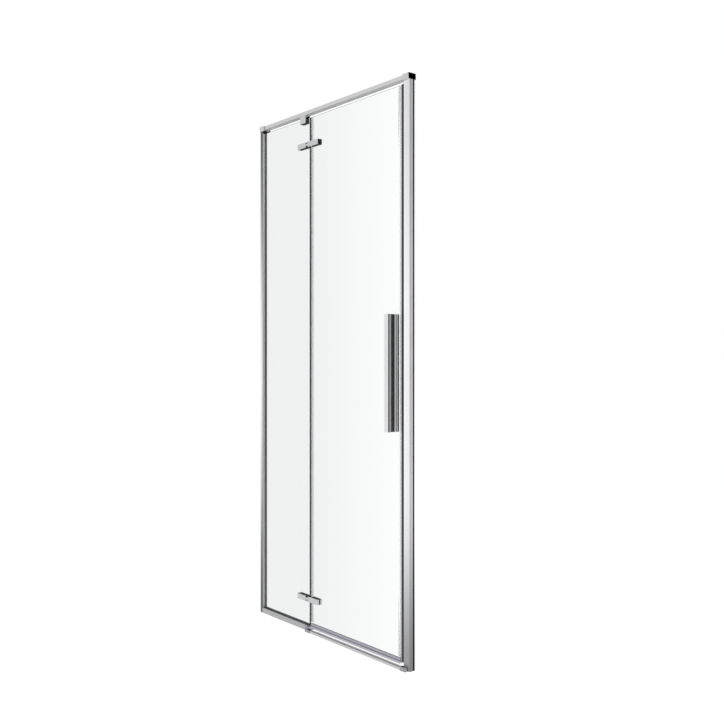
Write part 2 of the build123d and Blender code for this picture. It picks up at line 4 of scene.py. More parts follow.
import bpy
import numpy as np
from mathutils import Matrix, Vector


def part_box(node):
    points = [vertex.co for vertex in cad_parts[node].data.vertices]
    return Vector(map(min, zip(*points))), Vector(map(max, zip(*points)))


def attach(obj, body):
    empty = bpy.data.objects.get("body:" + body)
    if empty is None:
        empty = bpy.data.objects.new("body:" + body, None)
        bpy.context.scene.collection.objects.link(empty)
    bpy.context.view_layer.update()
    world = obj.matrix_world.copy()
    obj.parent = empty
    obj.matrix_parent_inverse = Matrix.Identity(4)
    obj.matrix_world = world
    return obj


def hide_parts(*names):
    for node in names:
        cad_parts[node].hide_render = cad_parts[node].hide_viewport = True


bl_info = {
    "name": "Alcove shower door",
    "version": (1, 0, 0),
    "blender": (4, 5, 0),
    "location": "3D View > Sidebar > Shower door",
    "description": "Dresses a hinged shower door and its fixed pane in finished surfaces",
    "category": "Object",
}

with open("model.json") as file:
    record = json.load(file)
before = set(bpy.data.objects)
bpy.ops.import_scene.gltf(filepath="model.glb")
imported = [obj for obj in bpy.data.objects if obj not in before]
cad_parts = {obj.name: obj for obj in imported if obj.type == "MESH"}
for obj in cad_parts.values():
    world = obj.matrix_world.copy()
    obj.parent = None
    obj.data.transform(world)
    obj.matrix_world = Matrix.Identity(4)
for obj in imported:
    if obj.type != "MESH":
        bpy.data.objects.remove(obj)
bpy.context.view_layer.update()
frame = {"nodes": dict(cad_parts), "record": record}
NODES = frame["nodes"]
SHARP_ANGLE = math.radians(28)
BEVEL_ANGLE = math.radians(50)


# Settings


def colour(default, name, description):
    """A colour setting, in linear light."""
    return bpy.props.FloatVectorProperty(
        name=name,
        description=description,
        subtype="COLOR",
        size=3,
        min=0.0,
        max=1.0,
        default=default,
    )


def length(default, name, description):
    """A length setting, in metres."""
    return bpy.props.FloatProperty(
        name=name, description=description, subtype="DISTANCE", unit="LENGTH", default=default
    )


def share(default, name, description):
    """A setting from 0 to 1."""
    return bpy.props.FloatProperty(
        name=name, description=description, subtype="FACTOR", min=0.0, max=1.0, default=default
    )


class DoorFinishes(bpy.types.PropertyGroup):
    """Colours and gloss of the metals, the glass and the soft parts."""

    aluminium: colour((0.82, 0.82, 0.84), "Aluminium", "Bright anodised profiles")
    rail_aluminium: colour((0.53, 0.53, 0.54), "Rails", "Anodised header rail and threshold")
    low_aluminium: colour((0.41, 0.41, 0.42), "Bottom rail", "Anodised rail under the fixed pane")
    aluminium_rough: share(0.32, "Aluminium roughness", "How soft the reflections in the profiles are")
    aluminium_metal: share(0.42, "Aluminium sheen", "How much of the profiles' light is mirrored")
    # Painted shade: a darker copy of the profile's aluminium for its outer side.
    strike_shaded_side: colour((0.58, 0.58, 0.59), "Strike shaded side", "Outer side of the right wall's profile")
    # Painted highlight: brighter than the profile's aluminium, on the bead at the mouth and on the slope
    # beside the wall seal; the bead is also really polished smoother.
    bead_painted_highlight: colour((0.96, 0.96, 0.97), "Bead painted highlight", "Polished bead along a profile's mouth")
    chrome: colour((0.58, 0.58, 0.59), "Chrome", "Plated hinges, brackets and blocks")
    # Painted shade: a darker copy of the chrome for the threshold's blocks, standing in for their dark
    # reflections.
    shaded_block_chrome: colour((0.34, 0.34, 0.38), "Blocks", "Plated blocks of the threshold")
    chrome_rough: share(0.05, "Chrome roughness", "How soft the reflections in the plated parts are")
    # Painted shade: the post's nose sits in shade between the profile and the seal, so the post is made dark.
    shaded_post: colour((0.13, 0.13, 0.14), "Inner post", "Adjusting post in the right wall's profile")
    # Painted shade: the dark colour of the handle's web and grooves, the left profile's mouth and the
    # threshold's sloped edge, where shade falls.
    groove: colour((0.13, 0.13, 0.135), "Groove", "Blackened web of the handle")
    # Painted shade: this darker tint covers the fixed pane and the door's hinge side, and passes to the
    # lighter door tint by the handle.
    glass_near: colour((0.864, 0.878, 0.879), "Fixed glass", "Tint of the panes beside the hinges")
    glass_far: colour((0.980, 0.984, 0.986), "Door glass", "Tint of the door by its handle")
    glass_edge: colour((0.42, 0.60, 0.54), "Glass edge", "Ground edge of the panes")
    glass_ior: bpy.props.FloatProperty(
        name="Glass refraction", description="Refraction of the panes", min=1.0, default=1.30
    )
    clear_seal: colour((0.93, 0.93, 0.95), "Clear seal", "Transparent legs of the seals")
    milky_seal: colour((0.40, 0.39, 0.45), "Milky seal", "Translucent legs of the drip seal")
    pale_seal: colour((0.56, 0.55, 0.61), "Pale seal", "Soft fins of the drip seal")
    line_seal: colour((0.15, 0.15, 0.18), "Seal line", "Glass edge that shows through the drip seal")
    seam_seal: colour((0.17, 0.165, 0.20), "Seam seal", "Clip of the seal between the panes")
    clear_head: colour((0.74, 0.73, 0.78), "Clear head", "Closing seal where no magnet shows through")
    # Painted shade: the closing seals are made dark where they meet across the gap between them.
    magnet_head: colour((0.030, 0.030, 0.040), "Magnet head", "Closing seal that its magnet darkens")
    # Painted shade on the strike seal's free half, at the gap between the closing seals; the same dark colour
    # also dresses the lip of the seal between the panes.
    dark_seal: colour((0.030, 0.030, 0.040), "Dark seal", "Face over the strike magnet, and the seam's lip")
    wall_seal: colour((0.002, 0.002, 0.003), "Wall seal", "Strip between a profile and its wall")
    rubber: colour((0.035, 0.035, 0.038), "Rubber", "Setting blocks, front rail gasket and hinge pads")
    grey_gasket: colour((0.50, 0.50, 0.51), "Grey gasket", "Glazing gasket on the front of the fixed pane")
    rear_gasket: colour((0.16, 0.16, 0.165), "Rear gasket", "Glazing gaskets behind the fixed pane")
    # Painted reflection: near black with hardly any gloss, for the dark that the chrome sides mirror.
    painted_dark_side: colour((0.004, 0.004, 0.005), "Painted dark side", "Blackened sides of the handle's back bar")
    handle_front: colour((0.68, 0.68, 0.69), "Handle front", "Front of the handle")
    # Painted shade: a darker copy of the handle's aluminium for the sides of its front bar.
    handle_shaded_side: colour((0.42, 0.42, 0.43), "Handle shaded side", "Sides of the handle's front bar")
    pad: colour((0.82, 0.82, 0.84), "Pad", "Clear grey pads of the handle")
    steel: colour((0.56, 0.56, 0.57), "Steel", "Screws and pins")
    nylon: colour((0.72, 0.71, 0.66), "Nylon", "Hinge bushes")


class DoorSizes(bpy.types.PropertyGroup):
    """Small sizes of the visible edges."""

    profile_round: length(0.0008, "Profile corner", "Corner radius of the aluminium profiles")
    inner_round: length(0.0002, "Inner corner", "Corner radius inside the profiles")
    cut_round: length(0.0002, "Cut end", "Rounding of a profile's cut ends")
    rail_wall: length(0.0018, "Rail wall", "Wall of the header rail's tube")
    threshold_lip: length(0.009, "Threshold lip", "Depth of the threshold's raised lip")
    threshold_flange: length(0.0015, "Threshold flange", "Thickness of the flange behind that lip")
    threshold_slope: length(0.0015, "Threshold slope", "Height of the lip's sloped front edge")
    lip: length(0.0030, "Lip", "Width of the thick lip at the mouth of the left wall's profile")
    lip_rise: length(0.0018, "Lip rise", "How far that lip stands in from the wall")
    bead: length(0.0036, "Bead", "Width of the bright bead at a profile's mouth")
    bead_rise: length(0.0004, "Bead step", "How far the face lies behind the bead")
    slope: length(0.0036, "Slope", "Width of the sloped strip beside the wall seal")
    slope_drop: length(0.0009, "Slope depth", "How far the sloped strip falls")
    handle_groove: length(0.0042, "Handle groove", "Width of the shadow grooves in the handle")
    groove_depth: length(0.0012, "Groove depth", "Depth of the shadow grooves")
    groove_inset: length(0.0002, "Groove inset", "Flat between the handle's corner and its groove")
    handle_round: length(0.0016, "Handle corner", "Corner radius along the handle's front")
    handle_foot: length(0.004, "Handle foot", "Thickness of the foot on the glass")
    handle_web: length(0.016, "Handle web", "Depth of the web between the face and the foot")
    handle_web_half: length(0.004, "Handle web half", "Half the thickness of that web")
    seal_wall: length(0.0008, "Seal wall", "Thickness of the seals' legs")
    seal_clearance: length(0.001, "Seal clearance", "Gap between the closing seal's legs and the drip seal")
    magnet_gap: length(0.0006, "Magnet gap", "Gap between the two closing seals")
    magnet_head: length(0.006, "Magnet head", "Width of the door side head")
    barb_neck: length(0.0013, "Barb neck", "Half the thickness of the neck in the post's groove")
    barb_half: length(0.0030, "Barb", "Half the width of the barb behind the neck")
    neck_length: length(0.0024, "Neck length", "Length of the neck")
    seal_round: length(0.0010, "Seal corner", "Corner radius of the seal heads")
    # The head's face of this width, toward the strike seal, takes painted shade.
    magnet_face: length(0.0026, "Magnet face", "Part of the door side head that the magnet darkens")
    drip_base: length(0.0016, "Drip base", "Thickness of the drip seal under the glass")
    leg_cut: length(0.0035, "Leg cut", "How far the drip seal's legs end below the room they have")
    fin: length(0.0011, "Fin", "Thickness of the drip seal's fins at their roots")
    edge_band: length(0.0034, "Edge band", "Height of the glass edge that shows through the drip seal")


class DoorStage(bpy.types.PropertyGroup):
    """Camera, lamps and backdrop."""

    lens: bpy.props.FloatProperty(
        name="Lens", description="Focal length in millimetres", unit="CAMERA", default=44.871
    )
    camera_place: bpy.props.FloatVectorProperty(
        name="Camera", description="Place of the camera", subtype="TRANSLATION", size=3,
        default=(2.641738, -1.966731, 1.018572),
    )
    camera_turn: bpy.props.FloatProperty(
        name="Turn", description="Turn of the camera about the vertical", subtype="ANGLE", default=0.8950
    )
    camera_shift: bpy.props.FloatProperty(
        name="Shift", description="Vertical shift of the picture", default=-0.00449
    )
    floor_reach: length(60.0, "Floor reach", "Half the width of the floor")
    floor_drop: length(0.0005, "Floor drop", "How far the floor lies below the part")
    floor_grey: share(0.25, "Floor grey", "How much of the light the floor gives back")
    floor_glow: share(0.84, "Floor glow", "Light that the floor has of its own")
    fill: bpy.props.FloatProperty(name="Fill", description="Strength of the even light", default=0.75)
    key_power: bpy.props.FloatProperty(name="Key", description="Watts of the lamp in front", default=70.0)
    rear_power: bpy.props.FloatProperty(name="Rear", description="Watts of the lamp behind", default=40.0)
    lamp_size: length(2.6, "Lamp size", "Side of each square lamp")


# Sections and surfaces


def rounded_section(points, radii, steps=5):
    """Rounds the corners of a closed section.

    A corner P with unit directions a and b to its neighbours and inner angle w gets an arc of radius r:
    its centre is P + (a + b) / |a + b| * r / sin(w / 2), and it starts and ends r / tan(w / 2) from P.
    """
    p = np.asarray(points, float)
    r = np.broadcast_to(np.asarray(radii, float), (len(p),))[:, None]
    a = np.roll(p, 1, 0) - p
    b = np.roll(p, -1, 0) - p
    a /= np.linalg.norm(a, axis=1, keepdims=True)
    b /= np.linalg.norm(b, axis=1, keepdims=True)
    half = np.arccos(np.clip((a * b).sum(1, keepdims=True), -1, 1)) / 2
    middle = (a + b) / np.linalg.norm(a + b, axis=1, keepdims=True)
    centre = p + middle * r / np.sin(half)
    first = p + a * r / np.tan(half) - centre
    last = p + b * r / np.tan(half) - centre
    turn = np.pi - 2 * half
    t = np.linspace(0, 1, steps)[None, :, None]
    sweep = turn[:, None, :]
    arc = np.sin((1 - t) * sweep) * first[:, None, :] + np.sin(t * sweep) * last[:, None, :]
    arc /= np.sin(sweep)
    ring = (centre[:, None, :] + arc).reshape(-1, 2)
    gap = np.linalg.norm(ring - np.roll(ring, 1, 0), axis=1)
    return ring[gap > 1e-7]


def rectangle(low, high):
    """The four corners between a lowest and a highest one."""
    return [(low[0], low[1]), (high[0], low[1]), (high[0], high[1]), (low[0], high[1])]


def carried(section, axis, start, end, inner=None, marks=None):
    """A closed section carried straight along an axis, as vertices, faces and each face's material number.

    P(s, t) = section(s) across the axis, and start + t * (end - start) along it. A section across X is given
    in (Y, Z), across Y in (X, Z), and across Z in (X, Y). A tube has an inner section with as many points.
    """
    outer = facing_out(np.asarray(section, float), axis)
    n = len(outer)
    i = np.arange(n)
    j = (i + 1) % n
    rings = [outer] if inner is None else [outer, facing_out(np.asarray(inner, float), axis)]
    across = [k for k in range(3) if k != axis]
    vertices = np.zeros((2 * n * len(rings), 3))
    for k, ring in enumerate(rings):
        for m, place in enumerate((start, end)):
            rows = slice((2 * k + m) * n, (2 * k + m + 1) * n)
            vertices[rows, across] = ring
            vertices[rows, axis] = place
    faces = np.stack([i, j, j + n, i + n], 1).tolist()
    if inner is None:
        faces += [i[::-1].tolist(), (i + n).tolist()]
    else:
        faces += np.stack([i + 3 * n, j + 3 * n, j + 2 * n, i + 2 * n], 1).tolist()
        faces += np.stack([j, i, i + 2 * n, j + 2 * n], 1).tolist()
        faces += np.stack([i + n, j + n, j + 3 * n, i + 3 * n], 1).tolist()
    numbers = np.zeros(len(faces), np.int32)
    if marks is not None:
        numbers[:n] = marks((outer + np.roll(outer, -1, 0)) / 2)
    return vertices, faces, numbers


def split_at(ring, x):
    """The section with a point added wherever one of its edges crosses x in its first coordinate.

    On an edge from P to Q the point is P + (x - Px) / (Qx - Px) * (Q - P).
    """
    step = np.roll(ring, -1, 0) - ring
    away = x - ring[:, 0]
    where = np.flatnonzero(away * (away - step[:, 0]) < 0)
    points = ring[where] + (away[where] / step[where, 0])[:, None] * step[where]
    return np.insert(ring, where + 1, points, axis=0)


def facing_out(ring, axis):
    """The section in the order that makes its carried faces look outward."""
    nxt = np.roll(ring, -1, 0)
    area = (ring[:, 0] * nxt[:, 1] - nxt[:, 0] * ring[:, 1]).sum() / 2
    return ring[::-1] if (axis == 1) != (area < 0) else ring


def mesh_object(name, parts, materials, edge=0.0):
    """One object at the origin from several surfaces, smooth except at sharp edges, which edge rounds."""
    vertices = np.concatenate([part[0] for part in parts])
    starts = np.cumsum([0] + [len(part[0]) for part in parts])
    faces = [[v + int(start) for v in face] for part, start in zip(parts, starts) for face in part[1]]
    mesh = bpy.data.meshes.new(name)
    mesh.from_pydata(vertices.tolist(), [], faces)
    for material in materials:
        mesh.materials.append(material)
    mesh.polygons.foreach_set("material_index", np.concatenate([part[2] for part in parts]).astype(np.int32))
    mesh.polygons.foreach_set("use_smooth", np.ones(len(mesh.polygons), bool))
    mesh.set_sharp_from_angle(angle=SHARP_ANGLE)
    mesh.update()
    made = bpy.data.objects.new(name, mesh)
    bpy.context.scene.collection.objects.link(made)
    if edge:
        bevel = made.modifiers.new("edge", "BEVEL")
        bevel.width = edge
        bevel.segments = 2
        bevel.limit_method = "ANGLE"
        bevel.angle_limit = BEVEL_ANGLE
    return made


def box_of(node_name):
    """A node's lowest and highest corners as plain numbers."""
    low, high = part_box(node_name)
    return tuple(low), tuple(high)


def stands_for(made, *nodes):
    """Sets a piece in its nodes' place: it rides on their body, and the nodes are hidden."""
    record = frame["record"]
    body = next(name for name, members in record["behaviour"]["bodies"].items() if nodes[0] in members)
    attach(made, body)
    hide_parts(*nodes)
    return made


# Shader groups


# A socket's kind by how many numbers it carries
SOCKETS = {1: "NodeSocketFloat", 3: "NodeSocketVector", 4: "NodeSocketColor"}


def new_group(name, inputs, outputs):
    """An empty shader group with its named inputs and their defaults, and its named outputs."""
    group = bpy.data.node_groups.new(name, "ShaderNodeTree")
    for label, default in inputs.items():
        kind = SOCKETS[np.size(default)]
        group.interface.new_socket(label, in_out="INPUT", socket_type=kind).default_value = default
    for label, width in outputs.items():
        group.interface.new_socket(label, in_out="OUTPUT", socket_type=SOCKETS[width])
    return group, group.nodes.new("NodeGroupInput").outputs, group.nodes.new("NodeGroupOutput").inputs


def give(tree, sockets, given):
    """Links one output to each named socket."""
    for label, output in given.items():
        tree.links.new(output, sockets[label])


def node(tree, kind, values=None, **settings):
    """Adds a node, sets its settings, and sets or links its inputs by name or number."""
    made = tree.nodes.new(kind)
    for key, value in settings.items():
        setattr(made, key, value)
    for key, value in (values or {}).items():
        if isinstance(value, bpy.types.NodeSocket):
            tree.links.new(value, made.inputs[key])
        else:
            made.inputs[key].default_value = value
    return made


def object_place(tree):
    """The place on the object, as an output."""
    return node(tree, "ShaderNodeTexCoord").outputs["Object"]


def reckoned(tree, operation, *values):
    """One step of arithmetic, as its output."""
    return node(tree, "ShaderNodeMath", dict(enumerate(values)), operation=operation).outputs[0]


def ranged(tree, value, span, target, kind="LINEAR"):
    """A value carried from one span to another and held at both ends, as an output."""
    values = dict(zip(("Value", "From Min", "From Max", "To Min", "To Max"), (value, *span, *target)))
    return node(tree, "ShaderNodeMapRange", values, interpolation_type=kind).outputs[0]


def stretched(tree, place, factors):
    """A place with each of its coordinates multiplied by its own factor, as an output."""
    return node(tree, "ShaderNodeVectorMath", {0: place, 1: factors}, operation="MULTIPLY").outputs[0]


def scaled(tree, tint, amount):
    """A colour multiplied by an amount, as an output."""
    return node(tree, "ShaderNodeVectorMath", {0: tint, "Scale": amount}, operation="SCALE").outputs[0]


def noise(tree, place, size, detail=2.0, rough=0.5, distortion=0.0):
    """Noise with so many cells to the metre, as an output around 0.5."""
    values = {"Vector": place, "Scale": size, "Detail": detail, "Roughness": rough, "Distortion": distortion}
    return node(tree, "ShaderNodeTexNoise", values).outputs["Fac"]


def drawn_lines_group():
    """Fine die lines of an extruded profile: noise stretched a hundredfold along the profile's length."""
    group, taken, given = new_group(
        "Drawn lines",
        {"Stretch": (1.0, 1.0, 0.01), "Fineness": 2200.0, "Rough low": 0.15, "Rough high": 0.25},
        {"Roughness": 1, "Height": 1, "Shade": 1},
    )
    place = object_place(group)
    fine = noise(group, stretched(group, place, taken["Stretch"]), taken["Fineness"], detail=3.0, rough=0.6)
    wide = noise(group, place, 9.0, detail=4.0)
    mixed = reckoned(group, "MULTIPLY_ADD", fine, 0.6, wide)
    rough = ranged(group, mixed, (0.5, 1.1), (taken["Rough low"], taken["Rough high"]))
    shade = ranged(group, wide, (0.3, 0.7), (0.96, 1.0))
    give(group, given, {"Roughness": rough, "Height": fine, "Shade": shade})
    return group


def upright_group():
    """Tone of an upright profile by height: darker towards the foot and the head, as in the photograph."""
    # Painted shade: the colour is multiplied down towards the foot and the head, standing in for the dimmer
    # reflections there.
    group, taken, given = new_group(
        "Upright tone",
        {"Foot painted shade": 1.0, "Foot end": 0.6, "Head start": 1.2, "Head end": 1.94, "Head painted shade": 1.0},
        {"Tone": 1},
    )
    height = node(group, "ShaderNodeSeparateXYZ", {0: object_place(group)}).outputs["Z"]
    head_span = (taken["Head start"], taken["Head end"])
    foot = ranged(group, height, (0.0, taken["Foot end"]), (taken["Foot painted shade"], 1.0), "SMOOTHSTEP")
    head = ranged(group, height, head_span, (1.0, taken["Head painted shade"]), "SMOOTHSTEP")
    give(group, given, {"Tone": reckoned(group, "MULTIPLY", foot, head)})
    return group


def handling_group():
    """Faint smears and dried water spots: broad noise for the smears, and small rings from cell distances."""
    group, taken, given = new_group(
        "Handling marks",
        {"Smear size": 14.0, "Spot size": 160.0, "Rough low": 0.04, "Rough high": 0.12},
        {"Roughness": 1, "Height": 1},
    )
    place = object_place(group)
    smear = noise(group, place, taken["Smear size"], detail=6.0, distortion=1.2)
    cells = node(group, "ShaderNodeTexVoronoi", {"Vector": place, "Scale": taken["Spot size"]})
    ring = ranged(group, cells.outputs["Distance"], (0.10, 0.16), (1.0, 0.0))
    chance = ranged(group, smear, (0.55, 0.62), (0.0, 1.0))
    spots = reckoned(group, "MULTIPLY", ring, chance)
    base = ranged(group, smear, (0.35, 0.70), (taken["Rough low"], taken["Rough high"]))
    give(group, given, {"Roughness": reckoned(group, "MULTIPLY_ADD", spots, 0.06, base), "Height": smear})
    return group


def moulded_group():
    """Fine grain and long flow streaks of a soft extruded plastic or rubber."""
    group, taken, given = new_group(
        "Moulded grain",
        {
            "Colour": (0.5, 0.5, 0.5, 1.0),
            "Streaks": 0.10,
            "Grain size": 1800.0,
            "Rough low": 0.3,
            "Rough high": 0.5,
        },
        {"Colour": 4, "Roughness": 1, "Height": 1},
    )
    place = object_place(group)
    grain = noise(group, place, taken["Grain size"])
    streak = noise(group, stretched(group, place, (90.0, 90.0, 3.0)), 2.0, detail=4.0)
    lowest = reckoned(group, "SUBTRACT", 1.0, taken["Streaks"])
    tint = scaled(group, taken["Colour"], ranged(group, streak, (0.3, 0.7), (lowest, 1.0)))
    rough = ranged(group, grain, (0.3, 0.7), (taken["Rough low"], taken["Rough high"]))
    give(group, given, {"Colour": tint, "Roughness": rough, "Height": grain})
    return group


# Materials


def bare_tree(owner):
    """The emptied node tree of a material or a world, with its output's surface socket."""
    owner.use_nodes = True
    tree = owner.node_tree
    tree.nodes.clear()
    kind = "World" if isinstance(owner, bpy.types.World) else "Material"
    return tree, tree.nodes.new(f"ShaderNodeOutput{kind}").inputs["Surface"]


def new_material(key):
    """A material with a Principled shader and an output, named in plain words after its key."""
    material = bpy.data.materials.new(key.replace("_", " ").capitalize())
    tree, surface = bare_tree(material)
    shader = tree.nodes.new("ShaderNodeBsdfPrincipled")
    tree.links.new(shader.outputs[0], surface)
    return material, tree, shader.inputs


def place_group(tree, group, values):
    """The outputs of one use of a shader group with this material's own values."""
    return node(tree, "ShaderNodeGroup", values, node_tree=group).outputs


def bump(tree, height, distance, strength):
    """A height turned into a normal, as an output."""
    values = {"Height": height, "Strength": strength, "Distance": distance}
    return node(tree, "ShaderNodeBump", values).outputs[0]


def metal(key, tint, rough, stretch, groups, fineness=2200.0, tone=None, sheen=1.0):
    """Polished metal: die lines along the profile, with smears and dried spots over them."""
    material, tree, shader = new_material(key)
    shader["Metallic"].default_value = sheen
    lines = {"Stretch": stretch, "Fineness": fineness, "Rough low": rough * 0.85, "Rough high": rough * 1.2}
    drawn = place_group(tree, groups["lines"], lines)
    hand = place_group(tree, groups["marks"], {"Rough low": 0.0, "Rough high": rough * 0.35})
    shade = drawn["Shade"]
    # Painted shade by height, where a tone is given, multiplies the colour.
    if tone is not None:
        shade = reckoned(tree, "MULTIPLY", shade, place_group(tree, groups["upright"], tone)["Tone"])
    made = {
        "Base Color": scaled(tree, (*tint,), shade),
        "Roughness": reckoned(tree, "ADD", drawn["Roughness"], hand["Roughness"]),
        "Normal": bump(tree, drawn["Height"], 0.00002, 0.10),
    }
    give(tree, shader, made)
    return material


def soft(key, tint, group, rough, streaks=0.1, ior=1.5, cover=1.0):
    """Soft plastic or rubber; a clear one is a film with a small cover, so that what lies behind it shows."""
    material, tree, shader = new_material(key)
    spread = {"Rough low": rough * 0.85, "Rough high": rough * 1.15}
    used = place_group(tree, group, {"Colour": (*tint, 1.0), "Streaks": streaks, **spread})
    normal = bump(tree, used["Height"], 0.00002, 0.15)
    give(tree, shader, {"Base Color": used["Colour"], "Roughness": used["Roughness"], "Normal": normal})
    shader["IOR"].default_value = ior
    shader["Alpha"].default_value = cover
    return material


def pane_glass(key, tints, span, finish, marks):
    """Clear toughened glass with a ground edge, whose tint passes from one to the other along X.

    The edge is where the surface's own normal leaves the pane's normal, which is Y.
    """
    material, tree, shader = new_material(key)
    shader["Transmission Weight"].default_value = 1.0
    shader["IOR"].default_value = finish.glass_ior
    place = node(tree, "ShaderNodeTexCoord").outputs
    along = node(tree, "ShaderNodeSeparateXYZ", {0: place["Object"]}).outputs["X"]
    near, far, rim_tint = ((*tint, 1.0) for tint in (*tints, finish.glass_edge))
    # Painted shade: the body colour passes from the darker near tint to the lighter far tint along X.
    body = {"Factor": ranged(tree, along, span, (0.0, 1.0)), "A": near, "B": far}
    body = node(tree, "ShaderNodeMix", body, data_type="RGBA").outputs["Result"]
    across = node(tree, "ShaderNodeSeparateXYZ", {0: place["Normal"]}).outputs["Y"]
    rim = ranged(tree, reckoned(tree, "ABSOLUTE", across), (0.85, 0.97), (1.0, 0.0))
    mixed = node(tree, "ShaderNodeMix", {"Factor": rim, "A": body, "B": rim_tint}, data_type="RGBA")
    hand = place_group(tree, marks, {"Smear size": 5.0})
    made = {
        "Base Color": mixed.outputs["Result"],
        "Roughness": reckoned(tree, "MULTIPLY", rim, 0.25),
        "Normal": bump(tree, hand["Height"], 0.00001, 0.02),
    }
    give(tree, shader, made)
    return material


def metals(finish, groups):
    """Every metal by its name: colour, roughness, run of its die lines, and what else it needs."""
    rough = finish.aluminium_rough
    up = (1.0, 1.0, 0.01)
    along = (0.01, 1.0, 1.0)
    even = (1.0, 1.0, 1.0)
    # Painted shade by height for the two upright profiles, darker towards foot and head.
    strike = {"Foot painted shade": 0.36, "Foot end": 0.60, "Head start": 1.10, "Head painted shade": 0.78}
    hinge = {"Foot painted shade": 0.14, "Foot end": 0.95, "Head start": 0.95, "Head painted shade": 0.14}
    anodised = {"sheen": finish.aluminium_metal}
    rows = {
        "strike_aluminium": (finish.aluminium, rough, up, {"tone": strike, **anodised}),
        "hinge_aluminium": (finish.aluminium, rough, up, {"tone": hinge, **anodised}),
        "bead_painted_highlight": (finish.bead_painted_highlight, 0.10, up, {"tone": strike, **anodised}),
        "strike_shaded_side": (finish.strike_shaded_side, rough, up, {"tone": strike, **anodised}),
        "aluminium_along": (finish.rail_aluminium, rough, along, anodised),
        "low_aluminium": (finish.low_aluminium, rough, along, anodised),
        "shaded_post_aluminium": (finish.shaded_post, rough, up, anodised),
        "handle_aluminium": (finish.handle_front, rough, up, anodised),
        "handle_shaded_side": (finish.handle_shaded_side, rough, up, anodised),
        "blackened": (finish.groove, 0.40, up, {}),
        "shaded_block_chrome": (finish.shaded_block_chrome, 0.16, even, {"fineness": 500.0}),
        "chrome": (finish.chrome, finish.chrome_rough, even, {"fineness": 500.0}),
        "fastener_steel": (finish.steel, 0.28, even, {"fineness": 900.0}),
    }
    return {key: metal(key, *row[:3], groups, **row[3]) for key, row in rows.items()}


def plastics(finish, grain):
    """Every plastic and rubber by its name: colour, roughness, and what else it needs."""
    rows = {
        "clear_seal": (finish.clear_seal, 0.2, {"streaks": 0.04, "cover": 0.07}),
        "seam_seal": (finish.seam_seal, 0.2, {"streaks": 0.04, "cover": 0.14}),
        "head_clear": (finish.clear_head, 0.3, {}),
        "milky_seal": (finish.milky_seal, 0.32, {}),
        "pale_seal": (finish.pale_seal, 0.32, {}),
        "line_seal": (finish.line_seal, 0.32, {}),
        "magnet_head": (finish.magnet_head, 0.45, {"ior": 1.3}),
        "dark_seal": (finish.dark_seal, 0.42, {}),
        "wall_seal": (finish.wall_seal, 0.6, {"ior": 1.05}),
        "painted_dark_side": (finish.painted_dark_side, 0.6, {"ior": 1.05}),
        "gasket_rubber": (finish.rubber, 0.5, {}),
        "grey_gasket": (finish.grey_gasket, 0.5, {}),
        "rear_gasket": (finish.rear_gasket, 0.5, {}),
        "clear_pad": (finish.pad, 0.4, {}),
        "bush_nylon": (finish.nylon, 0.45, {}),
    }
    return {key: soft(key, row[0], grain, row[1], **row[2]) for key, row in rows.items()}


def build_materials(finish):
    """Every finish by its name."""
    groups = {"lines": drawn_lines_group(), "marks": handling_group(), "upright": upright_group()}
    door_low, door_high = box_of("door_glass")
    span = (door_low[0], door_high[0])
    near, far = finish.glass_near, finish.glass_far
    tints = {"fixed_glass": (near, near), "door_glass": (near, far)}
    return {
        **{key: pane_glass(key, pair, span, finish, groups["marks"]) for key, pair in tints.items()},
        **metals(finish, groups),
        **plastics(finish, moulded_group()),
    }


MADE = {}


def finish_of(name):
    """The finish that a name stands for; all are made once."""
    if not MADE:
        MADE.update(build_materials(bpy.context.scene.door_finishes))
    return MADE[name]


def dress(names, finish):
    """Gives CAD nodes a finish in their own material slot."""
    for name in names:
        slots = NODES[name].material_slots
        if not len(slots):
            raise RuntimeError(f"{name} has no material slot")
        for slot in slots:
            slot.material = finish_of(finish)


# Profiles


def hinge_channel(sizes):
    """U profile on the left wall; the cut faces of its mouth carry painted shade for the glazing gaskets'
    shadow.
    """
    low, high = box_of("hinge_side_wall_channel")
    wall = box_of("channel_front_gasket")[0][1] - low[1]
    lip = high[0] - sizes.lip
    thick = wall + sizes.lip_rise
    points = [
        (low[0], low[1]),
        (high[0], low[1]),
        (high[0], low[1] + thick),
        (lip, low[1] + thick),
        (lip, low[1] + wall),
        (low[0] + wall, low[1] + wall),
        (low[0] + wall, high[1] - wall),
        (lip, high[1] - wall),
        (lip, high[1] - thick),
        (high[0], high[1] - thick),
        (high[0], high[1]),
        (low[0], high[1]),
    ]
    big, small = sizes.profile_round, sizes.inner_round
    radii = [big] + [small] * 10 + [big]

    def mouth(middles):
        # Painted shade: the mouth's cut faces take the dark colour.
        return middles[:, 0] > high[0] - small / 2

    part = carried(rounded_section(points, radii), 2, low[2], high[2], marks=mouth)
    finishes = [finish_of("hinge_aluminium"), finish_of("blackened")]
    made = mesh_object("hinge_channel_profile", [part], finishes, sizes.cut_round)
    return stands_for(made, "hinge_side_wall_channel")


